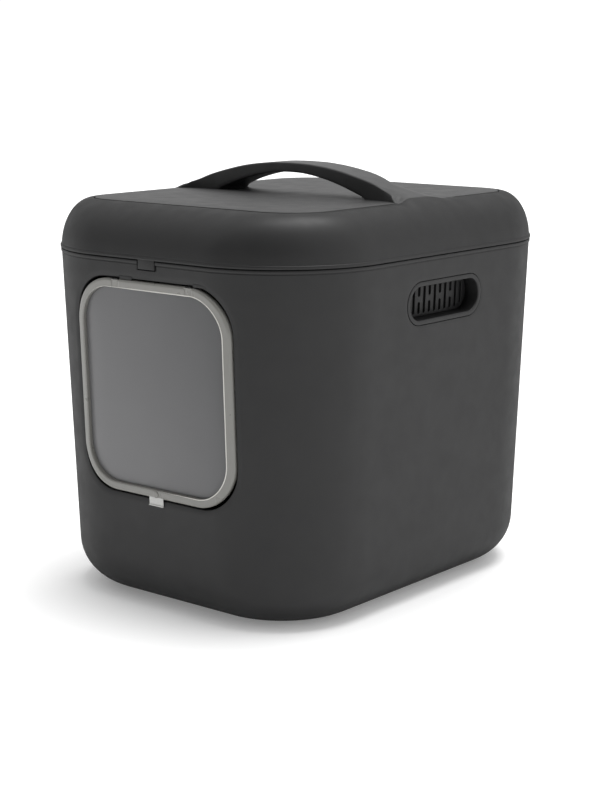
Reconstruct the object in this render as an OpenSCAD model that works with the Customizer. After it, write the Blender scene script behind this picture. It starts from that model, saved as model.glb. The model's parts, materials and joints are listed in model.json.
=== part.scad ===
// Hooded cat litter box: a deep tub with a swinging front flap, and a lift-off lid
// with an arched carrying handle. Front is -Y, up is +Z, and the origin is the
// centre of the underside.

/* [Body] */
// Width at the lid seam, left to right
body_w = 395; // [385:1:410]
// Depth at the lid seam, front to back
body_d = 486; // [475:1:500]
// Height of the seam between tub and lid
seam_z = 371; // [365:1:380]
// Plan corner radius at the seam
corner_r = 122; // [110:1:125]
// Draft of the tub walls, in degrees
draft = 2.2; // [1.5:0.1:2.6]
// Radius of the rounded bottom edge
foot_r = 49; // [40:1:52]
// Wall thickness of the mouldings
wall = 2.6; // [2.2:0.1:3]

/* [Lid] */
// Rise of the rounded shoulder above the seam
lid_rise = 50; // [46:1:56]
// Half width of the flat top panel
panel_hx = 155; // [150:1:156]
// Half depth of the flat top panel
panel_hy = 191; // [185:1:192]
// Corner radius of the top panel
panel_r = 49; // [40:1:52]
// Width of the carrying handle
handle_w = 40; // [34:1:44]
// Height of the handle above the top panel
handle_rise = 36.3; // [34:0.1:40]

/* [Flap] */
// Outer half width of the flap frame
ring_hx = 106.8; // [104:0.1:108]
// Height of the flap's top edge above the floor
ring_top_z = 348.9; // [346:0.1:349.5]
// Height of the flap frame
ring_h = 226.2; // [215:0.1:228]
// Outer corner radius of the flap frame
ring_r = 50; // [46:0.5:54]
// Face width of the flap frame
ring_band = 9.2; // [9:0.1:9.6]
// How far the flap frame stands out of the wall
ring_proud = 1.9; // [1.9:0.1:2.3]
// Gap between the flap and the opening
flap_gap = 1.5; // [1.5:0.1:2]

/* [Side grips] */
// Height of the grip's centre
grip_z = 323; // [318:1:325]
// Length of the finger opening
grip_l = 122; // [116:1:124]
// Height of the finger opening
grip_h = 35; // [32:1:36]
// Depth of the finger pocket
grip_depth = 17; // [15:1:18]

/* [Hidden] */
$fn = 96;

charcoal = [0.17, 0.17, 0.17];
panel_grey = [0.24, 0.24, 0.24];
frame_grey = [0.56, 0.56, 0.53];
smoke_grey = [0.35, 0.35, 0.36, 0.8];
latch_white = [0.86, 0.86, 0.84];
carbon_black = [0.05, 0.05, 0.05];

half_w = body_w / 2;
half_d = body_d / 2;
lid_z = seam_z + lid_rise;         // level of the top panel
rim_gap = 0.3;                     // shadow gap between tub rim and lid
bead_out = 1;                      // how far the rim beads stand out
bead_h = 3.4;
corner_steps = 12;                 // facets in a plan corner
curve_steps = 9;                   // facets in an edge radius

tongue_w = 24;                     // lid tongue, front and back
tongue_drop = 9.5;

// ---- lofted shells -------------------------------------------------------

// Rounded rectangle as a list of plan points, anticlockwise.
function plan(hx, hy, r) = [
    for (q = [0 : 3], k = [0 : corner_steps])
        let (a = 90 * (q + k / corner_steps),
             sx = (q == 0 || q == 3) ? 1 : -1,
             sy = q < 2 ? 1 : -1)
        [sx * (hx - r) + r * cos(a), sy * (hy - r) + r * sin(a)]
];

// The same outline lifted to height z.
function ring(hx, hy, r, z) = [for (p = plan(hx, hy, r)) [p[0], p[1], z]];

// Outline inset from the body's seam outline by d.
function body_ring(d, z) = ring(half_w - d, half_d - d, corner_r - d, z);

// How far the tub wall has drawn in at height z.
function drawn_in(z) = tan(draft) * (seam_z - z);

// Side faces between consecutive rings of n points, clockwise seen from outside.
function skin(n, from, to) = [
    for (i = [0 : n - 1])
        let (j = (i + 1) % n)
        each [[from * n + i, to * n + i, to * n + j],
              [from * n + i, to * n + j, from * n + j]]
];

// Solid between a bottom cap and a top cap.
module capped_loft(rings) {
    n = len(rings[0]);
    m = len(rings);
    polyhedron(
        points = [for (r = rings) each r],
        faces = concat(
            [[for (i = [0 : n - 1]) i]],
            [for (k = [0 : m - 2]) each skin(n, k, k + 1)],
            [[for (i = [n - 1 : -1 : 0]) (m - 1) * n + i]]));
}

// Solid whose last ring joins its first, such as an open hood.
module closed_loft(rings) {
    n = len(rings[0]);
    m = len(rings);
    polyhedron(
        points = [for (r = rings) each r],
        faces = [for (k = [0 : m - 1]) each skin(n, k, (k + 1) % m)]);
}

// ---- plan shapes ---------------------------------------------------------

module rounded_rect(hx, hy, r) {
    square([2 * (hx - r), 2 * hy], center = true);
    square([2 * hx, 2 * (hy - r)], center = true);
    for (sx = [-1, 1], sy = [-1, 1])
        translate([sx * (hx - r), sy * (hy - r)]) circle(r);
}

module stadium(length, height) {
    square([length - height, height], center = true);
    for (s = [-1, 1])
        translate([s * (length - height) / 2, 0]) circle(height / 2);
}

// ---- places --------------------------------------------------------------

hinge_drop = ring_band / 2;
hinge_z = ring_top_z - hinge_drop;
ring_depth = 8;                    // front to back depth of the flap frame
hinge_y = -(half_d - drawn_in(hinge_z));
flap_corner_r = 117;               // plan radius that the flap follows at its sides
flap_flat = 75.5;                  // half width of the flap's flat middle

// Frame of the front wall: X along the wall, Y into the tub, Z up the wall,
// with its origin on the wall's face at the hinge's height.
module on_front_wall() {
    translate([0, hinge_y, hinge_z]) rotate([draft, 0, 0]) children();
}

// Frame of the right wall at the grip: X along Y, Y up the wall, Z outward.
module on_right_wall() {
    translate([half_w - drawn_in(grip_z), 0, grip_z])
        rotate([0, draft, 0]) rotate([90, 0, 90]) children();
}

// Prism through the front wall, from depth a to depth b behind its face.
module through_front(a, b) {
    translate([0, b, 0]) rotate([90, 0, 0]) linear_extrude(b - a) children();
}

// Outline of the flap, drawn in by d; the hinge axis is at Y = 0.
module flap_outline(d) {
    translate([0, hinge_drop - ring_h / 2])
        rounded_rect(ring_hx - d, ring_h / 2 - d, ring_r - d);
}

// Doorway, with tighter corners than the flap so that it can swing out.
module doorway() {
    translate([0, hinge_drop - ring_h / 2])
        rounded_rect(ring_hx + flap_gap, ring_h / 2 + flap_gap, ring_r - 4);
}

// Curved slab that follows the front wall, from depth a to depth b.
module wall_slab(a, b) {
    translate([0, 0, -ring_h - 10]) linear_extrude(ring_h + 30)
        intersection() {
            translate([0, half_d / 2 + a]) difference() {
                rounded_rect(flap_flat + flap_corner_r, half_d / 2, flap_corner_r);
                translate([0, b - a])
                    rounded_rect(flap_flat + flap_corner_r - b + a, half_d / 2,
                        flap_corner_r - b + a);
            }
            translate([-ring_hx - 5, -20]) square([2 * ring_hx + 10, 60]);
        }
}

// ---- tub -----------------------------------------------------------------

pin_at = [-45.7, 56.3];            // middles of the hinge breaks in the frame's top bar
break_w = 9.2;
pin_r = 4.2;
lug_clear = 0.07;                  // running clearance of the hinge

latch_w = 20;
latch_drop = 7.8;                  // how far the tab hangs below the frame
latch_front = -1.4;                // depth of the tab's face behind the wall's face
latch_t = 1;

module tub_outer() {
    capped_loft([
        for (k = [0 : curve_steps])
            let (a = 90 * k / curve_steps, z = foot_r * (1 - cos(a)))
            body_ring(drawn_in(z) + foot_r * (1 - sin(a)), z),
        body_ring(drawn_in(seam_z - bead_h - 1.6), seam_z - bead_h - 1.6),
        body_ring(-0.8 * bead_out, seam_z - bead_h),
        body_ring(-0.8 * bead_out, seam_z - rim_gap - 0.8),
        body_ring(0, seam_z - rim_gap)]);
}

module tub_inner() {
    capped_loft([
        for (k = [0 : curve_steps])
            let (a = 90 * k / curve_steps, z = wall + (foot_r - wall) * (1 - cos(a)))
            body_ring(drawn_in(z) + wall + (foot_r - wall) * (1 - sin(a)), z),
        body_ring(wall, seam_z),
        body_ring(wall, seam_z + 2)]);
}

// Snap clip that holds one hinge pin of the flap; X is along the hinge axis.
module hinge_lug() {
    lug_w = break_w - 1.4;
    clip_r = 5.4;
    union() {
        difference() {
            rotate([0, 90, 0]) cylinder(r = clip_r, h = lug_w, center = true);
            rotate([0, 90, 0])
                cylinder(r = pin_r + lug_clear, h = lug_w + 2, center = true);
            translate([-lug_w, -clip_r - 0.6, -clip_r])
                cube([2 * lug_w, clip_r, 2 * clip_r]);
        }
        translate([-lug_w / 2, 4.3, 0]) cube([lug_w, 1.1, 14]);
        translate([-lug_w / 2, wall - 0.4, 9]) cube([lug_w, clip_r - wall + 0.4, 5]);
    }
}

module tub() {
    color(charcoal) {
        difference() {
            tub_outer();
            tub_inner();
            on_front_wall() through_front(-20, 30) doorway();
            // holes for the side grips
            for (side = [0, 1]) mirror([side, 0, 0]) on_right_wall()
                translate([0, 0, -12]) linear_extrude(24)
                    stadium(grip_l + 5, grip_h + 5);
            // notches for the lid's tongues
            for (side = [0, 1]) mirror([0, side, 0])
                translate([-tongue_w / 2 - 0.8, -half_d - 5, seam_z - tongue_drop - 0.9])
                    cube([tongue_w + 1.6, 12, 20]);
        }
        on_front_wall() for (x = pin_at) translate([x, 0, 0]) hinge_lug();
    }
}

// ---- lid -----------------------------------------------------------------

shoulder_in = half_w - panel_hx - 2;      // the shoulder runs this far in at the sides
top_hx = panel_hx + 2;
top_hy = panel_hy + 2;
top_r = panel_r + 2;
panel_gap = 1;
skirt_bottom = seam_z - 10.5;
handle_base = lid_z - wall - 0.1;

// Outline of the shoulder at share s of its run, from the top (0) to the seam (1),
// drawn in by d.
function shoulder_ring(s, z, d) = ring(
    top_hx + (half_w - top_hx) * s - d * s,
    top_hy + (half_d - top_hy) * s - d * s,
    top_r + (corner_r - top_r) * s - d * s, z);

// Height of the handle's top and underside, and of the shoulder, at distance x
// from the middle.
function handle_top(x) = lid_z + handle_rise - 0.36 * (sqrt(x * x + 110 * 110) - 110);
function handle_under(x) = lid_z + 26 - 0.62 * (sqrt(x * x + 120 * 120) - 120);
function shoulder_z(x) = x < top_hx ? lid_z
    : seam_z + lid_rise * sqrt(1 - pow((x - top_hx) / (half_w - top_hx), 2));
function fade(x) = let (t = max(0, min(1, (x - 165) / 35))) t * t * (3 - 2 * t);
function foot_top(x) = shoulder_z(x) + (handle_top(x) - shoulder_z(x)) * (1 - fade(x));

module lid_shell() {
    rise = lid_rise;
    closed_loft([
        body_ring(0, seam_z),
        body_ring(-bead_out, seam_z + 0.8),
        body_ring(-bead_out, seam_z + bead_h),
        for (k = [1 : curve_steps])
            let (a = 90 * k / curve_steps)
            shoulder_ring(cos(a), seam_z + rise * sin(a), 0),
        ring(panel_hx + panel_gap, panel_hy + panel_gap, panel_r + panel_gap, lid_z),
        ring(panel_hx + panel_gap, panel_hy + panel_gap, panel_r + panel_gap, lid_z - wall),
        for (k = [curve_steps : -1 : 1])
            let (a = 90 * k / curve_steps)
            shoulder_ring(cos(a), seam_z + (rise - wall) * sin(a), 2 * wall),
        body_ring(2 * wall + 0.6, skirt_bottom),
        body_ring(wall + 1.2, skirt_bottom),
        body_ring(wall + 0.6, seam_z)]);
}

module handle() {
    step = 4;
    span = 108;                    // half width of the finger gap
    reach = 188;                   // where the handle has sunk into the shoulder
    arch = [for (x = [-reach : step : reach]) [x, foot_top(abs(x))]];
    under = [
        for (x = [reach : -step : 160]) [x, shoulder_z(x) - wall / 2],
        [156, handle_base],
        [span + 1, handle_base],
        for (x = [span : -step : -span]) [x, max(handle_base, handle_under(abs(x)))],
        [-span - 1, handle_base],
        [-156, handle_base],
        for (x = [-160 : -step : -reach]) [x, shoulder_z(-x) - wall / 2]];
    hollow = [
        for (x = [-100 : step : 100]) [x, handle_top(x) - 3.2],
        for (x = [100 : -step : -100]) [x, handle_under(x) - 2]];
    rotate([90, 0, 0]) difference() {
        linear_extrude(handle_w, center = true) polygon(concat(arch, under));
        linear_extrude(handle_w - 6, center = true) polygon(hollow);
    }
}

module lid() {
    color(charcoal) {
        lid_shell();
        handle();
        for (side = [0, 1]) mirror([0, side, 0])
            translate([-tongue_w / 2, -half_d - 1.4, seam_z - tongue_drop])
                cube([tongue_w, 3.2, tongue_drop + 2]);
    }
}

module top_panel() {
    lip = 6;                       // flange that lies under the lid's rim
    color(panel_grey) difference() {
        union() {
            translate([0, 0, lid_z - 3.6]) linear_extrude(3.6)
                rounded_rect(panel_hx, panel_hy, panel_r);
            translate([0, 0, lid_z - 5.4]) linear_extrude(2.2)
                rounded_rect(panel_hx + lip, panel_hy + lip, panel_r + lip);
        }
        // room for the handle's feet
        for (side = [0, 1]) mirror([side, 0, 0])
            translate([107, -handle_w / 2 - 1, lid_z - wall - 0.4])
                cube([60, handle_w + 2, 10]);
        // open underside
        translate([0, 0, lid_z - 6]) linear_extrude(3.6)
            rounded_rect(panel_hx - lip, panel_hy - lip, panel_r - lip);
    }
}

// ---- flap ----------------------------------------------------------------

pane_in = 5.5;                     // depth of the pane behind the frame's face
pane_t = 2;

module break_cut(grow) {
    for (x = pin_at)
        translate([x - break_w / 2 - grow, -10, -6])
            cube([break_w + 2 * grow, 40, 30]);
}

module flap_frame() {
    difference() {
        intersection() {
            wall_slab(-ring_proud, ring_depth - ring_proud);
            through_front(-20, 40) difference() {
                flap_outline(0);
                flap_outline(ring_band);
            }
            // the top bar is a barrel round the hinge axis
            union() {
                translate([-200, -30, -300]) cube([400, 80, 300]);
                rotate([0, 90, 0]) cylinder(r = ring_band / 2, h = 300, center = true);
            }
        }
        // rebate for the pane
        through_front(pane_in - ring_proud, 40) flap_outline(ring_band - 4);
        break_cut(0);
        // slot for the latch
        translate([-latch_w / 2 - 0.2, latch_front - 0.1, hinge_drop - ring_h - 1])
            cube([latch_w + 0.4, latch_t + 0.3, ring_band + 2]);
        translate([-latch_w / 2 - 1.7, latch_front - 0.1, hinge_drop - ring_h + 1.6])
            cube([latch_w + 3.4, latch_t + 0.3, ring_band]);
    }
}

module door_ring() {
    color(frame_grey) on_front_wall() {
        flap_frame();
        // hinge pins
        for (x = pin_at)
            translate([x, 0, 0]) rotate([0, 90, 0])
                cylinder(r = pin_r, h = break_w + 2, center = true);
        // thumb dot above the latch
        translate([0, 0.5 - ring_proud, hinge_drop - ring_h + ring_band / 2])
            rotate([90, 0, 0]) cylinder(r = 3.6, h = 0.4 + 0.5);
    }
}

module door_pane() {
    a = pane_in - ring_proud + 0.1;
    color(smoke_grey) on_front_wall() difference() {
        intersection() {
            wall_slab(a, a + pane_t);
            through_front(-20, 40) flap_outline(ring_band - 3.7);
        }
        break_cut(1.5);
        translate([-200, -20, -0.5]) cube([400, 60, 20]);
    }
}

module door_latch() {
    bottom = hinge_drop - ring_h - latch_drop;
    color(latch_white) on_front_wall() {
        translate([-latch_w / 2, latch_front, bottom])
            cube([latch_w, latch_t, latch_drop + ring_band - 0.8]);
        translate([-latch_w / 2 - 1.4, latch_front, bottom + latch_drop + 1.8])
            cube([latch_w + 2.8, latch_t, 2]);
        // finger lip
        translate([-latch_w / 2, latch_front - 0.7, bottom])
            cube([latch_w, latch_t + 0.7, 1]);
    }
}

// ---- side grips and filters -------------------------------------------------

flange = 5;                        // width of the grip's face
flange_proud = 1;
sleeve_t = 2;
grille_t = 2.5;
slot_pitch = 9.35;
slot_w = 5.2;
slot_count = 12;
bridge_h = 4.4;

// Height of an upright slot at distance y from the middle of a stadium of height h.
function slot_reach(y, length, h) =
    let (e = max(0, abs(y) + slot_w / 2 - (length - h) / 2))
    e < h / 2 ? 2 * sqrt(h * h / 4 - e * e) : 0;

module grille_slots(length, height) {
    mid = (slot_count - 1) / 2;
    for (k = [0 : slot_count - 1]) {
        y = (k - mid) * slot_pitch;
        h = slot_reach(y, length - 3, height - 3);
        split = k % 2 == 1;
        if (h > slot_w + 2)
            translate([y, 0]) difference() {
                rotate(90) stadium(h, slot_w);
                if (split && h > 4 * bridge_h)
                    square([slot_w + 1, bridge_h], center = true);
            }
    }
}

module grip() {
    color(charcoal) on_right_wall() {
        difference() {
            union() {
                linear_extrude(flange_proud)
                    stadium(grip_l + 2 * flange, grip_h + 2 * flange);
                translate([0, 0, -grip_depth - grille_t])
                    linear_extrude(grip_depth + grille_t + 0.5)
                    stadium(grip_l + 2 * sleeve_t, grip_h + 2 * sleeve_t);
            }
            translate([0, 0, -grip_depth]) linear_extrude(grip_depth + 5)
                stadium(grip_l, grip_h);
            translate([0, 0, -grip_depth - grille_t - 1]) linear_extrude(grille_t + 2)
                grille_slots(grip_l, grip_h);
        }
    }
}

pad_t = 6;
pad_face = -grip_depth - grille_t - 0.2;

module filter_pad() {
    color(carbon_black) on_right_wall()
        translate([0, 0, pad_face - pad_t]) linear_extrude(pad_t)
        stadium(grip_l - 2, grip_h - 2);
}

module filter_cover() {
    back = pad_face - pad_t - 0.2;
    lap = 7;                       // how far the cover slips over the sleeve
    color(charcoal) on_right_wall() difference() {
        translate([0, 0, back - 2]) linear_extrude(lap + pad_t + 2.6)
            stadium(grip_l + 2 * sleeve_t + 4, grip_h + 2 * sleeve_t + 4);
        translate([0, 0, back]) linear_extrude(40)
            stadium(grip_l + 2 * sleeve_t + 0.5, grip_h + 2 * sleeve_t + 0.5);
        translate([0, 0, back - 3]) linear_extrude(4)
            grille_slots(grip_l, grip_h);
    }
}

// ---- parts ---------------------------------------------------------------

tub();
lid();
top_panel();
door_ring();
door_pane();
door_latch();
grip();  // grip_right
mirror([1, 0, 0]) grip();  // grip_left
filter_pad();  // filter_pad_right
mirror([1, 0, 0]) filter_pad();  // filter_pad_left
filter_cover();  // filter_cover_right
mirror([1, 0, 0]) filter_cover();  // filter_cover_left
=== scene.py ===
"""Looks of a hooded cat litter box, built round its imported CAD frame. Metres; front is -Y."""

import json
import math

import bmesh
import bpy
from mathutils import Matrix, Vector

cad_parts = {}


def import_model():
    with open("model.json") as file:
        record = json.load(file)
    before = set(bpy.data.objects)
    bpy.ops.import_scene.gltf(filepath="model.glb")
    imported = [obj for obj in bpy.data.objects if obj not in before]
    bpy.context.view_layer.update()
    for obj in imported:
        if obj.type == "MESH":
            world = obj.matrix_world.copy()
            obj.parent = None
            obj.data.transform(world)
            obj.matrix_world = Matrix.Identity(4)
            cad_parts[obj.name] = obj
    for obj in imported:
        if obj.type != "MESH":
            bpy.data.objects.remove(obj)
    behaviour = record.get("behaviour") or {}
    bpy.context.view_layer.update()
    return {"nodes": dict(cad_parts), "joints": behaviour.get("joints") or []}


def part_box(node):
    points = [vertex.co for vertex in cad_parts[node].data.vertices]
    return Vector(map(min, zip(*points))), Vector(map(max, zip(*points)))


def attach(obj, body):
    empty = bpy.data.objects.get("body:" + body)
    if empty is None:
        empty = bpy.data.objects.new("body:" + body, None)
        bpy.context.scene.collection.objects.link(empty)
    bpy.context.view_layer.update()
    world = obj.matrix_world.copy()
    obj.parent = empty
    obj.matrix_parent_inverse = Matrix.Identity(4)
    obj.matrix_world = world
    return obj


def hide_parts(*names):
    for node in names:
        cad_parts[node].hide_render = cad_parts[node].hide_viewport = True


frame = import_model()

# ---- dimensions, read from the frame where it has them --------------------

tub_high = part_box("tub")[1]
RIM_STEP = 0.0008  # how far the tub's rim band stands out
HALF_W = tub_high[0] - RIM_STEP  # half width at the seam
HALF_D = 0.243  # half depth at the seam
CORNER_R = 0.122  # plan corner radius at the seam
SEAM_Z = 0.371
DRAFT = math.radians(2.2)
FOOT_R = 0.049
WALL = 0.0026
STRAIGHT_X = HALF_W - CORNER_R  # half length of the straight front
STRAIGHT_Y = HALF_D - CORNER_R  # half length of the straight sides
WALL_CURVE_R = 0.117  # plan radius of the wall at the ends of the flap
LID_TOP = 0.4222
PANEL_TOP = 0.4227
RIM_GAP = 0.0014  # gap between the inset panel and the lid's rim
PANEL_HX, PANEL_HY, PANEL_R = 0.155, 0.191, 0.049
NOTCH_HW, NOTCH_Z = 0.0128, 0.3606  # half width and foot of the notches in the rim

FLAP = next(j for j in frame["joints"] if j["name"] == "flap_swing")
HINGE_Y, HINGE_Z = FLAP["pos_m"][1], FLAP["pos_m"][2]
RING_HX = 0.1068
RING_H = 0.2262
RING_R = 0.050
RING_BAND = 0.0092
RING_PROUD = 0.0010  # how far the flap's frame stands out of the wall
NECKS = (-0.0457, 0.0563)  # middles of the hinge necks in the top bar
NECK_W = 0.0084
CLIP_W, CLIP_R, CLIP_BORE = 0.0076, 0.0053, 0.00427  # snap clips that hold the necks
COVER_FROM, COVER_TO = 0.0060, 0.0235  # knuckle cover, to the right of its neck
PANE_FACE = 0.0039
LATCH_HALF_W, LATCH_DROP, LATCH_REACH = 0.0099, 0.0078, 0.0015
LATCH_FACE, LATCH_LIP, LATCH_BACK = -0.0008, -0.0019, -0.0004  # depths of the tab

GRIP_Z = 0.323
GRIP_HALF_L, GRIP_HALF_H = 0.066, 0.0225
GRIP_BAND = 0.005
GRIP_DEPTH = 0.017


def drawn_in(z):
    """How far the tub's wall has drawn in at height z."""
    return math.tan(DRAFT) * (SEAM_Z - z)


def smoothstep(a, b, x):
    t = max(0.0, min(1.0, (x - a) / (b - a)))
    return t * t * (3 - 2 * t)


def mix(a, b, t):
    return a + (b - a) * t


def through(points, x):
    """Smooth monotone curve through (x, y) control points, flat beyond them."""
    if x <= points[0][0]:
        return points[0][1]
    if x >= points[-1][0]:
        return points[-1][1]
    slopes = [
        (q[1] - p[1]) / (q[0] - p[0]) for p, q in zip(points[:-1], points[1:])
    ]
    tangents = [slopes[0]]
    for left, right in zip(slopes[:-1], slopes[1:]):
        tangents.append(0 if left * right <= 0 else 2 * left * right / (left + right))
    tangents.append(slopes[-1])
    i = max(k for k in range(len(points) - 1) if points[k][0] <= x)
    width = points[i + 1][0] - points[i][0]
    t = (x - points[i][0]) / width
    return (
        (1 + 2 * t) * (1 - t) ** 2 * points[i][1]
        + t * (1 - t) ** 2 * width * tangents[i]
        + t * t * (3 - 2 * t) * points[i + 1][1]
        - t * t * (1 - t) * width * tangents[i + 1]
    )


# ---- materials -------------------------------------------------------------


def node_material(name, build):
    material = bpy.data.materials.new(name)
    material.use_nodes = True
    nodes, links = material.node_tree.nodes, material.node_tree.links
    build(nodes, links, nodes["Principled BSDF"], nodes.new("ShaderNodeTexCoord"))
    return material


def noise(nodes, links, coords, scale, detail=2.0):
    texture = nodes.new("ShaderNodeTexNoise")
    texture.inputs["Scale"].default_value = scale
    texture.inputs["Detail"].default_value = detail
    links.new(coords.outputs["Object"], texture.inputs["Vector"])
    return texture.outputs["Fac"]


def ranged(nodes, links, value, low, high):
    node = nodes.new("ShaderNodeMapRange")
    node.inputs["From Min"].default_value = 0.3
    node.inputs["From Max"].default_value = 0.7
    node.inputs["To Min"].default_value = low
    node.inputs["To Max"].default_value = high
    links.new(value, node.inputs["Value"])
    return node.outputs["Result"]


def two_tone(nodes, links, fac, first, second):
    node = nodes.new("ShaderNodeMix")
    node.data_type = "RGBA"
    links.new(fac, node.inputs["Factor"])
    node.inputs["A"].default_value = (*first, 1)
    node.inputs["B"].default_value = (*second, 1)
    return node.outputs["Result"]


def bump(nodes, links, height, strength, distance):
    node = nodes.new("ShaderNodeBump")
    node.inputs["Strength"].default_value = strength
    node.inputs["Distance"].default_value = distance
    links.new(height, node.inputs["Height"])
    return node.outputs["Normal"]


def plastic(
    name, colour, rough, grain=0.12, grain_scale=2600, mottle=0.07, specular=0.5, grazing=0.5
):
    """Moulded plastic with a fine eroded grain, slight mottling and worn shine."""

    def build(nodes, links, shader, coords):
        patches = noise(nodes, links, coords, 14, 4)
        dark = [c * (1 - mottle) for c in colour]
        light = [c * (1 + mottle) for c in colour]
        tone = ranged(nodes, links, patches, 0, 1)
        links.new(two_tone(nodes, links, tone, dark, light), shader.inputs["Base Color"])
        wear = noise(nodes, links, coords, 55, 5)
        shine = ranged(nodes, links, wear, rough - 0.035, rough + 0.035)
        links.new(shine, shader.inputs["Roughness"])
        pits = noise(nodes, links, coords, grain_scale, 1.5)
        links.new(bump(nodes, links, pits, grain, 0.0002), shader.inputs["Normal"])
        # the eroded grain takes the shine off at grazing angles
        weight = nodes.new("ShaderNodeLayerWeight")
        weight.inputs["Blend"].default_value = 0.5
        dulled = nodes.new("ShaderNodeMapRange")
        dulled.inputs["From Min"].default_value = 0.28
        dulled.inputs["From Max"].default_value = 0.85
        dulled.inputs["To Min"].default_value = specular
        dulled.inputs["To Max"].default_value = specular * grazing
        links.new(weight.outputs["Facing"], dulled.inputs["Value"])
        links.new(dulled.outputs["Result"], shader.inputs["Specular IOR Level"])

    return node_material(name, build)


def smoked(name):
    """Smoked translucent sheet with faint flow marks and painted light: lighter towards the lower
    left.
    """

    def build(nodes, links, shader, coords):
        # painted light: lighter towards the lower left, mixed with faint flow marks from the noise
        painted_light_slope = nodes.new("ShaderNodeVectorMath")
        painted_light_slope.operation = "DOT_PRODUCT"
        painted_light_slope.inputs[1].default_value = (-2.6, 0, -1.7)
        links.new(coords.outputs["Object"], painted_light_slope.inputs[0])
        flow = noise(nodes, links, coords, 9, 3)
        flow_and_painted_light = nodes.new("ShaderNodeMath")
        flow_and_painted_light.operation = "MULTIPLY_ADD"
        flow_and_painted_light.inputs[1].default_value = 0.12
        links.new(flow, flow_and_painted_light.inputs[0])
        links.new(painted_light_slope.outputs["Value"], flow_and_painted_light.inputs[2])
        tone = nodes.new("ShaderNodeMapRange")
        tone.inputs["From Min"].default_value = -0.75
        tone.inputs["From Max"].default_value = -0.02
        links.new(flow_and_painted_light.outputs["Value"], tone.inputs["Value"])
        # the two colours span the painted light, from dark at the upper right to light at the lower
        # left
        sheet = two_tone(
            nodes, links, tone.outputs["Result"], (0.070, 0.070, 0.073), (0.166, 0.166, 0.170)
        )
        links.new(sheet, shader.inputs["Base Color"])
        haze = noise(nodes, links, coords, 40, 4)
        links.new(ranged(nodes, links, haze, 0.30, 0.38), shader.inputs["Roughness"])
        ripple = noise(nodes, links, coords, 300, 2)
        links.new(bump(nodes, links, ripple, 0.03, 0.0002), shader.inputs["Normal"])
        shader.inputs["Alpha"].default_value = 0.9

    return node_material(name, build)


def felt(name):
    """Black carbon felt."""

    def build(nodes, links, shader, coords):
        fibres = noise(nodes, links, coords, 700, 6)
        tone = ranged(nodes, links, fibres, 0, 1)
        colour = two_tone(nodes, links, tone, (0.006, 0.006, 0.006), (0.022, 0.022, 0.023))
        links.new(colour, shader.inputs["Base Color"])
        links.new(ranged(nodes, links, fibres, 0.85, 1.0), shader.inputs["Roughness"])
        links.new(bump(nodes, links, fibres, 0.8, 0.001), shader.inputs["Normal"])

    return node_material(name, build)


BODY = plastic("anthracite", (0.0134, 0.0134, 0.0137), 0.50, specular=0.34, grazing=0.12)
# painted light: the handle is the body's anthracite made lighter, to brighten its shaded front face
HANDLE_PAINTED_LIGHT = plastic("anthracite_handle_painted_lighter", (0.024, 0.024, 0.0243), 0.50, specular=0.38, grazing=0.9)
PANEL = plastic(
    "anthracite_panel", (0.018, 0.018, 0.0183), 0.56, grain=0.3, grain_scale=1500,
    specular=0.4, grazing=0.8,
)
FRAME = plastic(
    "warm_grey", (0.186, 0.183, 0.169), 0.30, mottle=0.04, specular=0.7, grazing=1.0
)
# painted highlight: light grey for the bead that stands in for the highlight along the frame's
# inner edge
FRAME_PAINTED_HIGHLIGHT = plastic(
    "painted_highlight_grey", (0.62, 0.61, 0.57), 0.22, mottle=0.03, specular=0.7, grazing=1.0
)
LATCH = plastic("off_white", (0.52, 0.52, 0.507), 0.38, mottle=0.03, grazing=1.0)
PANE = smoked("smoked_sheet")
FELT = felt("carbon_felt")

# ---- mesh helpers ----------------------------------------------------------


def piece(name, points, faces, material, body, bevel=0.0):
    """A smooth shaded mesh that rides on a body."""
    mesh = bpy.data.meshes.new(name)
    mesh.from_pydata(points, [], faces)
    work = bmesh.new()
    work.from_mesh(mesh)
    bmesh.ops.remove_doubles(work, verts=work.verts, dist=1e-6)
    bmesh.ops.recalc_face_normals(work, faces=work.faces)
    for face in work.faces:
        face.smooth = True
    work.to_mesh(mesh)
    work.free()
    obj = bpy.data.objects.new(name, mesh)
    bpy.context.collection.objects.link(obj)
    mesh.materials.append(material)
    if bevel:
        cut = obj.modifiers.new("edges", "BEVEL")
        cut.width = bevel
        cut.segments = 3
        cut.limit_method = "ANGLE"
    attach(obj, body)
    return obj


def add_strip(faces, first, second, closed=True):
    """Quads between two rows of point numbers."""
    count = len(first)
    for i in range(count if closed else count - 1):
        j = (i + 1) % count
        faces.append((first[i], first[j], second[j], second[i]))


def add_row(points, row):
    start = len(points)
    points.extend(row)
    return list(range(start, start + len(row)))


def rounded_outline(hx, hy, r, counts):
    """Outline of a rounded rectangle as (centre u, centre v, normal u, normal v), where a
    point drawn out by s is centre + (r + s) * normal. counts holds the number of points
    along the bottom, right, top and left, each from the middle of one corner to the next."""
    sides = [
        ((-hx + r, -hy + r), (hx - r, -hy + r), -90),
        ((hx - r, -hy + r), (hx - r, hy - r), 0),
        ((hx - r, hy - r), (-hx + r, hy - r), 90),
        ((-hx + r, hy - r), (-hx + r, -hy + r), 180),
    ]
    eighth = r * math.pi / 4
    outline = []
    for (start, end, normal), count in zip(sides, counts):
        straight = math.dist(start, end)
        for k in range(count):
            s = (2 * eighth + straight) * k / count
            if s < eighth:
                centre, turn = start, -45 + 45 * s / eighth
            elif s > eighth + straight:
                centre, turn = end, 45 * (s - eighth - straight) / eighth
            else:
                t = (s - eighth) / straight if straight > 0 else 0
                centre, turn = (mix(start[0], end[0], t), mix(start[1], end[1], t)), 0
            a = math.radians(normal + turn)
            outline.append((*centre, math.cos(a), math.sin(a)))
    return outline


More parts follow.
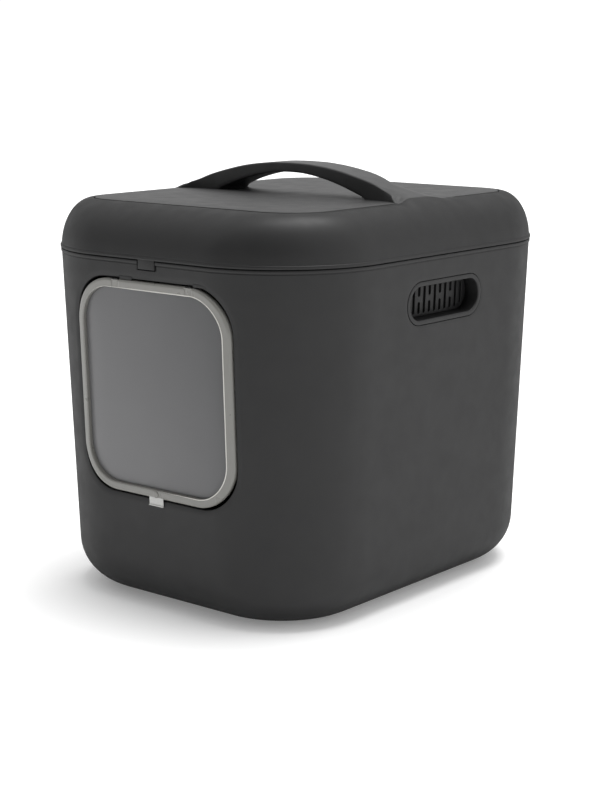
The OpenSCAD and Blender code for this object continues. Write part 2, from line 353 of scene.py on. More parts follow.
def drawn(outline, r, s):
    """Points of an outline drawn out by s."""
    return [(cu + (r + s) * nu, cv + (r + s) * nv) for cu, cv, nu, nv in outline]


def sweep(outline, r, profile, place):
    """A closed profile of (inward, depth) pairs swept round an outline."""
    points, faces, rows = [], [], []
    for inward, depth in profile:
        row = [place(u, v, depth) for u, v in drawn(outline, r, -inward)]
        rows.append(add_row(points, row))
    for first, second in zip(rows, rows[1:] + rows[:1]):
        add_strip(faces, first, second)
    return points, faces


def arc(cx, cy, r, start, end, steps):
    """Points on a circle from angle start to end, in degrees."""
    return [
        (
            cx + r * math.cos(math.radians(mix(start, end, k / steps))),
            cy + r * math.sin(math.radians(mix(start, end, k / steps))),
        )
        for k in range(steps + 1)
    ]


def box_mesh(low, high, place=None):
    xs, ys, zs = zip(low, high)
    points = [(x, y, z) for z in zs for y in ys for x in xs]
    faces = [(0, 2, 3, 1), (4, 5, 7, 6), (0, 1, 5, 4), (2, 6, 7, 3), (0, 4, 6, 2), (1, 3, 7, 5)]
    if place:
        points = [place(*p) for p in points]
    return points, faces


# ---- places ----------------------------------------------------------------


def on_front(x, depth, up):
    """Point in the frame of the front wall: depth into the tub, up along the wall."""
    return (
        x,
        HINGE_Y + depth * math.cos(DRAFT) - up * math.sin(DRAFT),
        HINGE_Z + depth * math.sin(DRAFT) + up * math.cos(DRAFT),
    )


def set_back(x):
    """How far the curved flap falls behind its flat middle at x."""
    out = max(0.0, abs(x) - STRAIGHT_X)
    return WALL_CURVE_R - math.sqrt(WALL_CURVE_R**2 - out * out)


def on_flap(x, up, depth):
    return on_front(x, depth + set_back(x), up)


def side_place(side):
    """Frame of a side wall at the grip: along the wall, up it, and depth behind its face."""

    def place(y, up, depth):
        out = -depth
        x = HALF_W - drawn_in(GRIP_Z) + out * math.cos(DRAFT) + up * math.sin(DRAFT)
        return (side * x, y, GRIP_Z - out * math.sin(DRAFT) + up * math.cos(DRAFT))

    return place


# ---- tub -------------------------------------------------------------------

ARC_STEPS = 32
FRONT_STEPS = 30
SIDE_STEPS = 48
NOTCH_COLUMNS = (13, 17)  # stations of the straight front that bound the notch
DOOR_ARC_STEPS = 13  # the door's patch reaches this far round the corners
GRIP_REACH = 17  # and a grip's patch this far along the side, each way


def tub_stations():
    """Round the tub from the left end of the front: (centre, direction) of each point."""
    sx, sy = STRAIGHT_X, STRAIGHT_Y
    spans = [
        ((-sx, -sy), (sx, -sy), (0, -1), FRONT_STEPS),
        ((sx, -sy), None, -90, ARC_STEPS),
        ((sx, -sy), (sx, sy), (1, 0), SIDE_STEPS),
        ((sx, sy), None, 0, ARC_STEPS),
        ((sx, sy), (-sx, sy), (0, 1), FRONT_STEPS),
        ((-sx, sy), None, 90, ARC_STEPS),
        ((-sx, sy), (-sx, -sy), (-1, 0), SIDE_STEPS),
        ((-sx, -sy), None, 180, ARC_STEPS),
    ]
    stations = []
    for start, end, facing, steps in spans:
        for k in range(steps):
            if end is None:
                a = math.radians(facing + 90 * k / steps)
                stations.append((start, (math.cos(a), math.sin(a))))
            else:
                t = k / steps
                if steps == FRONT_STEPS and k in NOTCH_COLUMNS:
                    # the edges of the notch for the lid's tongue
                    t = 0.5 + math.copysign(NOTCH_HW / (2 * sx), t - 0.5)
                centre = (mix(start[0], end[0], t), mix(start[1], end[1], t))
                stations.append((centre, facing))
    return stations


def hole_rings(lip, dish=0.0009, dish_width=0.0065, roll=0.0014):
    """(drawn out, outset) of the rings round a hole: a shallow dish, a rolled edge, a lip."""
    rings = [(0.0085, 0.0)]
    for s in (0.0065, 0.005, 0.0038, 0.0028, 0.002):
        rings.append((s, -dish * smoothstep(dish_width, 0.0, s)))
    for k in range(7):
        a = math.radians(15 * k)
        rings.append((roll * (1 - math.sin(a)), -dish - roll * (1 - math.cos(a))))
    rings.append((0.0, -lip))
    return rings


def tub():
    """The tub's skin, with rings of faces fitted round the doorway and both grips."""
    stations = tub_stations()
    count = len(stations)
    door_low, door_high, rows_between = 0.083, NOTCH_Z, 36
    pitch = (door_high - door_low) / rows_between
    levels = []  # (inset from the seam outline, height)
    for k in range(13):
        a = math.radians(90 * k / 12)
        z = FOOT_R * (1 - math.cos(a))
        levels.append((drawn_in(z) + FOOT_R * (1 - math.sin(a)), z))
    for k in range(1, 4):
        z = mix(FOOT_R, door_low, k / 4)
        levels.append((drawn_in(z), z))
    door_row = len(levels)
    for k in range(rows_between + 1):
        z = door_low + pitch * k
        levels.append((drawn_in(z), z))
    top_row = len(levels) - 1
    for out, z in (
        (0.0, 0.3652),
        (0.0, 0.3660),
        (-0.00025, 0.3663),
        (-0.00025, 0.3666),
        (0.0005, 0.3669),
        (0.0008, 0.3673),
        (0.0008, 0.3698),
        (0.0005, 0.3703),
        (-0.0004, 0.3706),
    ):
        levels.append((drawn_in(z) - out, z))

    points, faces, grid = [], [], []
    for inset, z in levels:
        r = CORNER_R - inset
        row = [(c[0] + r * u[0], c[1] + r * u[1], z) for c, u in stations]
        grid.append(add_row(points, row))
    # flat underside
    centre = add_row(points, [(0, 0, 0)])[0]
    for i in range(count):
        faces.append((grid[0][(i + 1) % count], grid[0][i], centre))

    side_start = FRONT_STEPS + ARC_STEPS + SIDE_STEPS // 2
    left_start = count // 2 + side_start
    grip_rows = 11
    patches = [
        (-DOOR_ARC_STEPS, FRONT_STEPS + DOOR_ARC_STEPS, door_row, top_row),
        (side_start - GRIP_REACH, side_start + GRIP_REACH, top_row - grip_rows, top_row),
        (left_start - GRIP_REACH, left_start + GRIP_REACH, top_row - grip_rows, top_row),
    ]
    covered = set()
    for first, last, low, high in patches:
        covered |= {(i % count, k) for i in range(first, last) for k in range(low, high)}
    # the notches for the lid's tongues, front and back
    for start in (0, count // 2):
        covered |= {
            (start + i, k) for i in range(*NOTCH_COLUMNS) for k in range(top_row, len(levels) - 1)
        }
    for k in range(len(levels) - 1):
        for i in range(count):
            if (i, k) not in covered:
                j = (i + 1) % count
                faces.append((grid[k][i], grid[k][j], grid[k + 1][j], grid[k + 1][i]))

    def front_point(x, z, outset):
        r = CORNER_R - drawn_in(z) + outset
        out = max(0.0, abs(x) - STRAIGHT_X)
        return (x, -STRAIGHT_Y - math.sqrt(r * r - out * out), z)

    def side_point(side):
        def at(y, z, outset):
            # the outline runs along +Y on the right and along -Y on the left
            return (side * (STRAIGHT_X + CORNER_R - drawn_in(z) + outset), side * y, z)

        return at

    def patch(bounds, outline, r, centre, surface, rings):
        first, last, low, high = bounds
        edge = [grid[low][i % count] for i in range(first, last)]
        edge += [grid[k][last % count] for k in range(low, high)]
        edge += [grid[high][i % count] for i in range(last, first, -1)]
        edge += [grid[k][first % count] for k in range(high, low, -1)]
        flat = []
        for number in edge:
            x, y, z = points[number]
            flat.append((x if surface is front_point else (y if x > 0 else -y), z))
        reach = drawn(outline, r, rings[0][0])
        row = edge
        for k in range(1, 9):
            t = (k / 9) ** 0.7
            line = [
                surface(
                    mix(a[0], b[0] + centre[0], t), mix(a[1], b[1] + centre[1], t), 0.0
                )
                for a, b in zip(flat, reach)
            ]
            following = add_row(points, line)
            add_strip(faces, row, following)
            row = following
        for s, outset in rings:
            line = [
                surface(u + centre[0], v + centre[1], outset)
                for u, v in drawn(outline, r, s)
            ]
            following = add_row(points, line)
            add_strip(faces, row, following)
            row = following

    gap = 0.0013
    columns = FRONT_STEPS + 2 * DOOR_ARC_STEPS
    door_centre = (0.0, HINGE_Z + (RING_BAND / 2 - RING_H / 2) * math.cos(DRAFT))
    door = rounded_outline(
        RING_HX + gap, RING_H / 2 + gap, RING_R - 0.0035, (columns, rows_between) * 2
    )
    patch(patches[0], door, RING_R - 0.0035, door_centre, front_point, hole_rings(0.0062))
    grip = rounded_outline(
        GRIP_HALF_L + 0.0005, GRIP_HALF_H + 0.0005, GRIP_HALF_H + 0.0005,
        (2 * GRIP_REACH, grip_rows) * 2,
    )
    rings = hole_rings(0.003, dish=0.0003, dish_width=0.004, roll=0.0005)
    for bounds, side in ((patches[1], 1), (patches[2], -1)):
        patch(bounds, grip, GRIP_HALF_H + 0.0005, (0.0, GRIP_Z), side_point(side), rings)

    obj = piece("tub_shell", points, faces, BODY, "tub")
    shell = obj.modifiers.new("wall", "SOLIDIFY")
    shell.thickness = WALL
    shell.offset = -1
    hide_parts("tub")


def hinge_lugs():
    """Snap clips on the tub that hold the flap's two hinge necks, and their knuckle covers."""
    for side, middle in zip(("left", "right"), NECKS):
        outer = arc(0, 0, CLIP_R, -40, 96, 24)
        inner = arc(0, 0, CLIP_BORE, 96, -40, 24)
        points, faces = [], []
        for x in (middle - CLIP_W / 2, middle + CLIP_W / 2):
            # the clip opens towards the front, where depth is negative
            points.extend(on_front(x, d, u) for d, u in outer + inner)
        half = len(outer) + len(inner)
        for i in range(half):
            j = (i + 1) % half
            faces.append((i, j, half + j, half + i))
        for i in range(len(outer) - 1):
            k = half - 1 - i
            faces.append((i, i + 1, k - 1, k))
            faces.append((half + i, half + k, half + k - 1, half + i + 1))
        piece(f"hinge_clip_{side}", points, faces, BODY, "tub")
        arm, arm_faces = box_mesh(
            (middle - CLIP_W / 2, 0.0042, 0.0), (middle + CLIP_W / 2, CLIP_R, 0.0140), on_front
        )
        root, root_faces = box_mesh(
            (middle - CLIP_W / 2, 0.0020, 0.0085), (middle + CLIP_W / 2, CLIP_R, 0.0140), on_front
        )
        arm_faces += [tuple(v + len(arm) for v in f) for f in root_faces]
        piece(f"hinge_arm_{side}", arm + root, arm_faces, BODY, "tub", bevel=0.0004)
        # the cover bridges the gap over the frame, beside the neck
        start, end = middle + COVER_FROM, middle + COVER_TO
        low, high = RING_BAND / 2 + 0.0003, RING_BAND / 2 + 0.0040
        cover, cover_faces = box_mesh((start, 0.0003, low), (end, 0.0024, high), on_front)
        name = f"knuckle_cover_{side}"
        piece(name, cover, cover_faces, BODY, "tub", bevel=0.0004)


tub()
hinge_lugs()

# ---- lid -------------------------------------------------------------------

HANDLE_TOP = [
    (0, 0.4570), (0.02, 0.4566), (0.042, 0.4549), (0.064, 0.4519), (0.086, 0.4473),
    (0.109, 0.4415), (0.121, 0.4378), (0.135, 0.4334), (0.146, 0.4300), (0.1565, 0.4267),
]
HANDLE_UNDER = [
    (0, 0.4467), (0.013, 0.4464), (0.043, 0.4424), (0.068, 0.4362), (0.09, 0.4287),
    (0.1, 0.4250), (0.108, 0.4195), (0.13, 0.4175),
]
FRONT_EDGE = [(0.11, -0.020), (0.13, -0.0215), (0.14, -0.024), (0.146, -0.028), (0.153, -0.034)]
FRONT_SHARE = [(0.118, 1.0), (0.142, 0.96), (0.150, 0.72), (0.1565, 0.22)]
REAR_EDGE = [
    (0.075, 0.020), (0.09, 0.023), (0.105, 0.031), (0.12, 0.043), (0.148, 0.066), (0.156, 0.070),
]
TOP_HX, TOP_HY, TOP_R = PANEL_HX + 0.0024, PANEL_HY + 0.0024, PANEL_R + 0.0024


def bezier(a, b, c, d, steps):
    row = []
    for k in range(steps + 1):
        t = k / steps
        w = ((1 - t) ** 3, 3 * t * (1 - t) ** 2, 3 * t * t * (1 - t), t**3)
        row.append(tuple(sum(w[n] * p[i] for n, p in enumerate((a, b, c, d))) for i in (0, 1)))
    return row


def handle_crest(x):
    """Top outline of the handle at x, from its front edge to its back edge, as (y, z)."""
    x = abs(x)
    base = LID_TOP - 0.0002
    top = through(HANDLE_TOP, x)
    front = through(FRONT_EDGE, x)
    share = through(FRONT_SHARE, x)
    edge = base + (top - base) * share
    round_f = min(0.002, edge - base + 1e-5)
    width = mix(0.0022, 0.024, smoothstep(0.118, 0.150, x))
    soft = smoothstep(0.143, 0.152, x)
    low = edge - round_f
    rise = (
        mix(front, front + 0.5 * width, soft),
        mix(low + 0.55 * (top - low), base, soft),
    )
    crest = bezier((front, low), rise, (front + 0.45 * width, top), (front + width, top), 10)
    rear = through(REAR_EDGE, x)
    web = smoothstep(0.078, 0.120, x)
    start = mix(rear - 0.0022, 0.006, web)
    knee = (start + mix(0.0012, 0.5 * (rear - 0.006), web), top)
    toe = (mix(rear, rear - 0.55 * (rear - 0.006), web), mix(top - 0.001, base, web))
    end = (rear, mix(top - 0.0022, base, web))
    middle = [(mix(front + width, start, k / 6), top) for k in range(1, 6)]
    return crest + middle + bezier((start, top), knee, toe, end, 16)


def crest_height(row, y):
    """Height of a crest at y, the panel's level beyond its edges."""
    if y <= row[0][0] or y >= row[-1][0]:
        return LID_TOP
    for (y0, z0), (y1, z1) in zip(row[:-1], row[1:]):
        if y0 <= y <= y1 and y1 > y0:
            return mix(z0, z1, (y - y0) / (y1 - y0))
    return LID_TOP


ROOT_X = 0.1565  # where the handle's surface runs into the lid's shoulder
ROOT_CREST = handle_crest(ROOT_X)


def foot_bulge(x, y):
    """Rise of the shoulder over the foot of the handle."""
    if abs(x) < 0.14:
        return 0.0
    fade = 1 - smoothstep(ROOT_X, 0.186, abs(x))
    fade *= 1 - 0.35 * smoothstep(ROOT_X, 0.170, abs(x))
    return max(0.0, crest_height(ROOT_CREST, y) - LID_TOP) * fade


def lid_ring(hx, hy, r, z, lifted=True):
    """Outline of the lid with fixed stations along its straight sides."""
    side_reach, side_steps = 0.11, 55
    front_reach, front_steps = 0.06, 14
    bend_steps = 44
    quarter = [(hx, side_reach * k / side_steps) for k in range(side_steps)]
    up = (hy - r) - side_reach
    turn = r * math.pi / 2
    across = (hx - r) - front_reach
    for k in range(bend_steps):
        s = (up + turn + across) * k / bend_steps
        if s < up:
            quarter.append((hx, side_reach + s))
        elif s < up + turn:
            a = (s - up) / r
            quarter.append((hx - r + r * math.cos(a), hy - r + r * math.sin(a)))
        else:
            quarter.append((hx - r - (s - up - turn), hy))
    quarter += [(front_reach * (1 - k / front_steps), hy) for k in range(front_steps + 1)]
    back = [(-x, y) for x, y in reversed(quarter)]
    ring = quarter[:-1] + back[:-1]
    ring += [(-x, -y) for x, y in ring]
    return [(x, y, z + (foot_bulge(x, y) if lifted else 0.0)) for x, y in ring]


def shoulder_ring(s, z, drop, lifted):
    return lid_ring(
        mix(TOP_HX, HALF_W, s) - drop * s,
        mix(TOP_HY, HALF_D, s) - drop * s,
        mix(TOP_R, CORNER_R, s) - drop * s,
        z,
        lifted,
    )


def body_ring(inset, z):
    return lid_ring(HALF_W - inset, HALF_D - inset, CORNER_R - inset, z, False)


def lid_shell():
    rise = LID_TOP - SEAM_Z
    rows = [
        lid_ring(PANEL_HX + RIM_GAP, PANEL_HY + RIM_GAP, PANEL_R + RIM_GAP, LID_TOP - 0.0046, True),
        lid_ring(PANEL_HX + RIM_GAP, PANEL_HY + RIM_GAP, PANEL_R + RIM_GAP, LID_TOP - 0.0009, True),
    ]
    for k in range(1, 5):
        a = math.radians(22.5 * k)
        grow = RIM_GAP + 0.0008 * (1 - math.cos(a))
        z = LID_TOP - 0.0009 + 0.0009 * math.sin(a)
        rows.append(lid_ring(PANEL_HX + grow, PANEL_HY + grow, PANEL_R + grow, z, True))
    steps = 30
    for k in range(steps):
        a = math.radians(90 * (k + 0.5) / steps)
        s, z = math.sin(a), SEAM_Z + rise * math.cos(a)
        if z > SEAM_Z + 0.0045:
            rows.append(shoulder_ring(s, z, 0, True))
    for out, z in (
        (0.0000, 0.3756), (-0.00005, 0.3752), (0.0001, 0.3749), (0.0009, 0.3746),
        (0.0012, 0.3742), (0.0012, 0.3720), (0.0009, 0.3714), (0.0002, 0.3712),
    ):
        rows.append(body_ring(-out, z))
    for inset, z in ((0.0031, 0.3712), (0.0033, 0.3700), (0.0035, 0.3608), (0.0052, 0.3605)):
        rows.append(body_ring(inset, z))
    for k in range(12):
        a = math.radians(90 * k / 11)
        rows.append(
            shoulder_ring(math.cos(a), SEAM_Z + (rise - WALL) * math.sin(a), 2 * WALL, False)
        )
    points, faces = [], []
    numbers = [add_row(points, row) for row in rows]
    for first, second in zip(numbers, numbers[1:] + numbers[:1]):
        add_strip(faces, first, second)
    obj = piece("lid_shell", points, faces, BODY, "lid")
    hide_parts("lid")


def handle():
    points, faces, numbers = [], [], []
    steps = 132
    stations = [ROOT_X * (2 * k / steps - 1) for k in range(steps + 1)]
    stations = [-ROOT_X - 0.0018] + stations + [ROOT_X + 0.0018]
    for x in stations:
        crest = handle_crest(min(abs(x), ROOT_X))
        sink = -0.00005 if abs(x) <= ROOT_X else 0.0008
        under = through(HANDLE_UNDER, abs(x))
        row = [(y, z - sink) for y, z in crest]
        rear, front = row[-1], row[0]
        soft = 0.0012
        row += [(rear[0], mix(rear[1], under + soft, t)) for t in (0.25, 0.5, 0.75, 1.0)]
        row += [(rear[0] - 0.3 * soft, under + 0.3 * soft), (rear[0] - soft, under)]
        row += [(mix(rear[0] - soft, front[0] + soft, k / 6), under) for k in range(1, 6)]
        row += [(front[0] + soft, under), (front[0] + 0.3 * soft, under + 0.3 * soft)]
        row += [(front[0], mix(under + soft, front[1], t)) for t in (0.0, 0.25, 0.5, 0.75)]
        numbers.append(add_row(points, [(x, y, z) for y, z in row]))
    for first, second in zip(numbers[:-1], numbers[1:]):
        add_strip(faces, first, second)
    faces.append(tuple(numbers[0]))
    faces.append(tuple(reversed(numbers[-1])))
    piece("handle", points, faces, HANDLE_PAINTED_LIGHT, "lid")


def top_panel():
    outline = rounded_outline(PANEL_HX, PANEL_HY, PANEL_R, (48, 60, 48, 60))
    edge = 0.0007
    profile = [(0.0, -0.0030), (0.0, -edge)] + [
        (edge - x, y - edge) for x, y in arc(0, 0, edge, 0, 90, 4)
    ][1:]
    points, faces, rows = [], [], []
    for inward, depth in profile:
        row = [(u, v, PANEL_TOP + depth) for u, v in drawn(outline, PANEL_R, -inward)]
        rows.append(add_row(points, row))
    for share in (0.9, 0.7, 0.5, 0.3, 0.12):
        row = [(u * share, v * share, PANEL_TOP) for u, v in drawn(outline, PANEL_R, -edge)]
        rows.append(add_row(points, row))
    for first, second in zip(rows[:-1], rows[1:]):
        add_strip(faces, first, second)
    faces.append(tuple(reversed(rows[0])))
    faces.append(tuple(rows[-1]))
    obj = piece("lid_panel", points, faces, PANEL, "lid")
    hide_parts("top_panel")


def tongues():
    """Snap tongues at the middle of the lid's front and back."""
    for side, name in ((-1, "front"), (1, "back")):
        low = (-0.0116, HALF_D - 0.0022, 0.3616)
        high = (0.0116, HALF_D + 0.0007, 0.3735)
        points, faces = box_mesh(low, high, lambda x, y, z: (x, side * y, z))
        piece(f"tongue_{name}", points, faces, BODY, "lid", bevel=0.0007)


lid_shell()
handle()
top_panel()
tongues()

# ---- flap ------------------------------------------------------------------


def flap_outline():
    """The flap's outline round the hinge's frame."""
    middle = RING_BAND / 2 - RING_H / 2
    outline = rounded_outline(RING_HX, RING_H / 2, RING_R, (64, 60, 64, 60))
    return [(cu, cv + middle, nu, nv) for cu, cv, nu, nv in outline]


def ring_profile():
    """Section of the flap's frame: rounded outer edge, flat face, softly rounded inner edge."""
    front, back = -RING_PROUD, 0.0056
    outer, inner = 0.0030, 0.0016
    profile = [(0.0, back), (0.0, 0.0035)]
    profile += [(outer - x, front + outer - y) for x, y in arc(0, 0, outer, 0, 90, 10)]
    profile += [(0.0045, front + 0.00005), (0.0060, front + 0.00005)]
    profile += [
        (RING_BAND - inner + x, front + inner - y) for x, y in arc(0, 0, inner, 90, 0, 8)
    ]
    profile += [(RING_BAND, 0.0025), (RING_BAND, PANE_FACE + 0.0003), (RING_BAND - 0.0006, back)]
    return profile


def flap_ring():
    """The flap's frame, cut through its top bar at the two hinge necks."""
    profile = ring_profile()
    top = RING_BAND / 2
    # an outline point with its outer edge's place across (4) and up (5)
    edge = [(*st, st[0] + RING_R * st[2], st[1] + RING_R * st[3]) for st in flap_outline()]
    stations = [st for st in edge if st[5] > top - 0.02]
    lower = [st for st in edge if st[5] <= top - 0.02]
    # the outline runs along the bottom, up the right side, leftwards along the top and down
    # the left side, so the lower part starts after its one long step
    cut = next(
        i for i, (a, b) in enumerate(zip(lower, lower[1:])) if math.dist(a[4:], b[4:]) > 0.05
    )
    lower = lower[cut + 1:] + lower[:cut + 1]

    def ending(x):
        past = max(0.0, abs(x) - (RING_HX - RING_R))
        lean = math.asin(past / RING_R) * (1 if x > 0 else -1)
        side = (RING_HX - RING_R) * (1 if x > 0 else -1) if past else x
        return (side, top - RING_R, math.sin(lean), math.cos(lean), x, top)

    left, right = ((x - NECK_W / 2, x + NECK_W / 2) for x in NECKS)
    across = sorted(stations, key=lambda st: -st[4])
    middle_run = [ending(right[0])] + [
        st for st in across if left[1] + 0.0005 < st[4] < right[0] - 0.0005
    ] + [ending(left[1])]
    upper_right = [st for st in across if st[4] > right[1] + 0.0005]
    upper_left = [st for st in across if st[4] < left[0] - 0.0005]
    around = [ending(left[0])] + upper_left + lower + upper_right + [ending(right[1])]
    points, faces = [], []
    for run in (middle_run, around):
        numbers = []
        for cu, cv, nu, nv, *_ in run:
            row = [
                on_flap(cu + (RING_R - inward) * nu, cv + (RING_R - inward) * nv, depth)
                for inward, depth in profile
            ]
            numbers.append(add_row(points, row))
        for first, second in zip(numbers[:-1], numbers[1:]):
            add_strip(faces, first, second)
        faces.append(tuple(numbers[0]))
        faces.append(tuple(reversed(numbers[-1])))
    obj = piece("flap_ring", points, faces, FRAME, "flap")
    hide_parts("door_ring")


def painted_highlight_bead():
    """Fine bead of light grey along the frame's inner edge, a painted highlight, fading out along
    the bottom and the left.
    """
    points, faces, rows = [], [], []
    outline = flap_outline()
    for i, (cu, cv, nu, nv) in enumerate(outline):
        share = i / len(outline)
        # painted highlight: the bead is full size where the highlight shows and shrinks to a thread
        # elsewhere
        painted_highlight_swell = smoothstep(0.13, 0.22, share) * (1 - smoothstep(0.60, 0.78, share))
        radius = 0.00003 + 0.00060 * painted_highlight_swell
        row = []
        for k in range(10):
            a = 2 * math.pi * k / 10
            inward = RING_BAND - 0.0005 + radius * math.cos(a)
            depth = -RING_PROUD + 0.0004 + radius * math.sin(a)
            row.append(on_flap(cu + (RING_R - inward) * nu, cv + (RING_R - inward) * nv, depth))
        rows.append(add_row(points, row))
    for first, second in zip(rows, rows[1:] + rows[:1]):
        add_strip(faces, first, second)
    piece("flap_ring_painted_highlight", points, faces, FRAME_PAINTED_HIGHLIGHT, "flap")


def turned(name, profile, place, material, body, steps=40):
    """A surface of revolution: profile holds (along, radius) pairs."""
    points, faces, rows = [], [], []
    for along, radius in profile:
        row = []
        for k in range(steps):
            a = 2 * math.pi * k / steps
            row.append(place(along, radius * math.cos(a), radius * math.sin(a)))
        rows.append(add_row(points, row))
    for first, second in zip(rows[:-1], rows[1:]):
        add_strip(faces, first, second)
    faces.append(tuple(reversed(rows[0])))
    faces.append(tuple(rows[-1]))
    return piece(name, points, faces, material, body)


def flap_necks():
    """Ribbed hinge necks in the flap's top bar."""
    for side, middle in zip(("left", "right"), NECKS):
        rib, full, waist = 0.0010, 0.0042, 0.0038
        half = NECK_W / 2
        profile = [
            (-half - 0.001, waist), (-half + 0.0004, waist), (-half + 0.0006, full),
            (-half + rib, full), (-half + rib + 0.0003, waist), (half - rib - 0.0003, waist),
            (half - rib, full), (half - 0.0006, full), (half - 0.0004, waist),
            (half + 0.001, waist),
        ]
        profile = [(middle + along, radius) for along, radius in profile]

        def place(along, d, u):
            # flattened to the level of the frame's face
            return on_front(along, max(d, -RING_PROUD + 0.0003), u)

        turned(f"hinge_neck_{side}", profile, place, FRAME, "flap", steps=72)


def flap_pane():
    middle = RING_BAND / 2 - RING_H / 2
    outline = flap_outline()
    face, back = PANE_FACE, PANE_FACE + 0.0018
    points, faces, rows = [], [], []

    def row_at(share, depth):
        row = []
        for u, v in drawn(outline, RING_R, -RING_BAND + 0.0025):
            u, v = u * share, middle + (v - middle) * share
            v = min(v, -0.0008)
            row.append(on_flap(u, v, depth))
        return row

    shares = [1.0, 0.97, 0.93, 0.87, 0.8, 0.7, 0.6, 0.5, 0.4, 0.3, 0.2, 0.1, 0.04]
    front = [add_row(points, row_at(s, face)) for s in shares]
    rear = [add_row(points, row_at(s, back)) for s in shares]
    for rows in (front, rear):
        for first, second in zip(rows[:-1], rows[1:]):
            add_strip(faces, first, second)
        faces.append(tuple(rows[-1]))
    add_strip(faces, front[0], rear[0])
    obj = piece("flap_pane", points, faces, PANE, "flap")
    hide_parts("door_pane")


def latch():
    bottom = RING_BAND / 2 - RING_H
    end = bottom - LATCH_DROP
    points, faces = box_mesh(
        (-LATCH_HALF_W, LATCH_FACE, end), (LATCH_HALF_W, LATCH_BACK, bottom + LATCH_REACH), on_front
    )
    lip, lip_faces = box_mesh(
        (-LATCH_HALF_W, LATCH_LIP, end), (LATCH_HALF_W, LATCH_BACK, bottom - 0.0068), on_front
    )
    faces += [tuple(v + len(points) for v in f) for f in lip_faces]
    obj = piece("latch_tab", points + lip, faces, LATCH, "latch", bevel=0.0004)
    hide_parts("door_latch")
    turned(
        "thumb_dot", [(0.0, 0.0038), (0.0004, 0.0038), (0.0007, 0.0035), (0.0008, 0.0030)],
        lambda along, a, b: on_front(a, -RING_PROUD - along + 0.0001, bottom + RING_BAND / 2 + b),
        FRAME, "flap", steps=32,
    )


flap_ring()
painted_highlight_bead()
flap_necks()
flap_pane()
latch()

# ---- side grips ------------------------------------------------------------

SLOT_PITCH = 0.00935
SLOT_W = 0.0050


def grip_rim(name, side):
    r = GRIP_HALF_H
    outline = rounded_outline(GRIP_HALF_L, GRIP_HALF_H, r, (56, 16, 56, 16))
    edge, lip = 0.0006, 0.0013
    profile = [(0.0008, 0.0035), (0.0, 0.0035), (0.0, edge)]
    profile += [(edge - x, edge - y) for x, y in arc(0, 0, edge, 0, 90, 4)][1:]
    profile += [(0.0020, -0.0001), (0.0030, -0.0001)]
    profile += [(GRIP_BAND - lip + x, lip - y) for x, y in arc(0, 0, lip, 90, 0, 6)]
    profile += [(GRIP_BAND, 0.010), (GRIP_BAND, GRIP_DEPTH + 0.0025)]
    profile += [(GRIP_BAND - 0.002, GRIP_DEPTH + 0.0025), (GRIP_BAND - 0.002, 0.0045)]
    points, faces = sweep(outline, r, profile, side_place(side))
    obj = piece(f"grip_rim_{name}", points, faces, BODY, "tub")
    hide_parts(f"grip_{name}")


def stadium_loop(cy, cz, half_l, half_h, steps=8):
    """Upright or level stadium as a loop of (y, z)."""
    if half_l >= half_h:
        reach, r = half_l - half_h, half_h
        ends = [(cy + reach, cz, -90), (cy - reach, cz, 90)]
    else:
        reach, r = half_h - half_l, half_l
        ends = [(cy, cz + reach, 0), (cy, cz - reach, 180)]
    return [p for y, z, a in ends for p in arc(y, z, r, a, a + 180, steps)]


def grille(name, side):
    """Slotted back of the grip, as a filled curve with rounded edges."""
    half_l, half_h = GRIP_HALF_L - GRIP_BAND + 0.001, GRIP_HALF_H - GRIP_BAND + 0.001
    loops = [stadium_loop(0, 0, half_l, half_h, 24)]
    for k in range(12):
        y = (k - 5.5) * SLOT_PITCH
        over = max(0.0, abs(y) + SLOT_W / 2 - (half_l - half_h))
        reach = math.sqrt(max(0.0, (half_h - 0.0015) ** 2 - over**2)) - 0.0015
        if k % 2 == 1 and k != 11:
            bridge = 0.00265
            part = (reach - bridge) / 2
            for up in (-1, 1):
                loops.append(stadium_loop(y, up * (bridge + part), SLOT_W / 2, part))
        else:
            loops.append(stadium_loop(y, 0, SLOT_W / 2, reach))
    curve = bpy.data.curves.new(f"grille_{name}", "CURVE")
    curve.dimensions = "2D"
    curve.fill_mode = "BOTH"
    curve.extrude = 0.0008
    curve.bevel_depth = 0.0004
    curve.bevel_resolution = 2
    for loop in loops:
        spline = curve.splines.new("POLY")
        spline.points.add(len(loop) - 1)
        for point, (y, z) in zip(spline.points, loop):
            point.co = (side * y, z, 0, 1)
        spline.use_cyclic_u = True
    drawing = bpy.data.objects.new("drawing", curve)
    bpy.context.collection.objects.link(drawing)
    mesh = bpy.data.meshes.new_from_object(
        drawing.evaluated_get(bpy.context.evaluated_depsgraph_get())
    )
    place = side_place(side)
    points = [place(side * v.co.x, v.co.y, GRIP_DEPTH + 0.0012 - v.co.z) for v in mesh.vertices]
    faces = [tuple(p.vertices) for p in mesh.polygons]
    bpy.data.objects.remove(drawing)
    obj = piece(f"grille_{name}", points, faces, BODY, "tub")
    for polygon in obj.data.polygons:
        polygon.use_smooth = False


for side_name, side_sign in (("left", -1), ("right", 1)):
    grip_rim(side_name, side_sign)
    grille(side_name, side_sign)

# ---- carried-over frame nodes ------------------------------------------------

for node_name, material in (
    ("filter_pad_left", FELT),
    ("filter_pad_right", FELT),
    ("filter_cover_left", BODY),
    ("filter_cover_right", BODY),
):
    node_mesh = frame["nodes"][node_name].data
    node_mesh.materials.clear()
    node_mesh.materials.append(material)

# ---- floor, light, camera ----------------------------------------------------


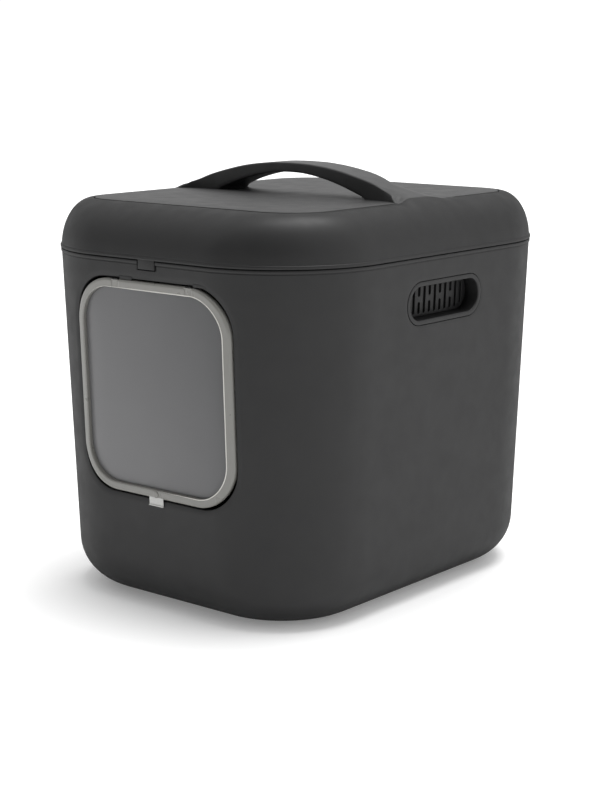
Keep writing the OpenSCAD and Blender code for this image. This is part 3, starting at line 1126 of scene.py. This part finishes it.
def floor():
    points, faces = box_mesh((-6, -6, -0.02), (6, 6, 0.0))
    mesh = bpy.data.meshes.new("floor")
    mesh.from_pydata(points, [], faces)
    obj = bpy.data.objects.new("floor", mesh)
    bpy.context.collection.objects.link(obj)

    def build(nodes, links, shader, coords):
        clouds = noise(nodes, links, coords, 3, 3)
        tone = ranged(nodes, links, clouds, 0, 1)
        colour = two_tone(nodes, links, tone, (0.88, 0.88, 0.88), (0.9, 0.9, 0.9))
        links.new(colour, shader.inputs["Base Color"])
        shader.inputs["Roughness"].default_value = 0.8
        shader.inputs["Specular IOR Level"].default_value = 0.1
        shader.inputs["Emission Color"].default_value = (1, 1, 1, 1)
        shader.inputs["Emission Strength"].default_value = 0.18

    mesh.materials.append(node_material("pale_floor", build))


def sun(name, strength, spread, tilt=(0, 0, 0)):
    data = bpy.data.lights.new(name, "SUN")
    data.energy = strength
    data.angle = math.radians(spread)
    obj = bpy.data.objects.new(name, data)
    bpy.context.collection.objects.link(obj)
    obj.rotation_euler = tuple(math.radians(t) for t in tilt)


CAMERA_AT = (1.2363, -1.4937, 0.5869)
CAMERA_AZIMUTH, CAMERA_ELEVATION = 39.638, 11.562
DARK_AZIMUTH, DARK_ELEVATION = 3, 4  # where the studio is darkest, from the front


def world():
    """White studio that darkens towards the front of the box."""
    scene = bpy.context.scene
    scene.world = bpy.data.worlds.new("studio")
    scene.world.use_nodes = True
    nodes, links = scene.world.node_tree.nodes, scene.world.node_tree.links
    background = nodes["Background"]
    coords = nodes.new("ShaderNodeTexCoord")
    along = nodes.new("ShaderNodeVectorMath")
    along.operation = "DOT_PRODUCT"
    a, e = math.radians(DARK_AZIMUTH), math.radians(DARK_ELEVATION)
    dark_side = (math.sin(a) * math.cos(e), -math.cos(a) * math.cos(e), math.sin(e))
    along.inputs[1].default_value = dark_side
    links.new(coords.outputs["Generated"], along.inputs[0])
    ramp = nodes.new("ShaderNodeMapRange")
    ramp.interpolation_type = "SMOOTHSTEP"
    ramp.inputs["From Min"].default_value = -0.1
    ramp.inputs["From Max"].default_value = 0.95
    ramp.inputs["To Min"].default_value = 1.06
    ramp.inputs["To Max"].default_value = 0.25
    links.new(along.outputs["Value"], ramp.inputs["Value"])
    links.new(ramp.outputs["Result"], background.inputs["Strength"])
    background.inputs["Color"].default_value = (1, 1, 1, 1)


def camera():
    data = bpy.data.cameras.new("camera")
    data.lens = 79.06
    data.sensor_width = 36
    data.clip_end = 30
    obj = bpy.data.objects.new("camera", data)
    bpy.context.collection.objects.link(obj)
    obj.location = CAMERA_AT
    obj.rotation_euler = (math.radians(90 - CAMERA_ELEVATION), 0, math.radians(CAMERA_AZIMUTH))
    bpy.context.scene.camera = obj


floor()
world()
sun("overhead", 2.2, 35, (-12, 4, 0))
camera()
bpy.context.scene.view_settings.view_transform = "Standard"
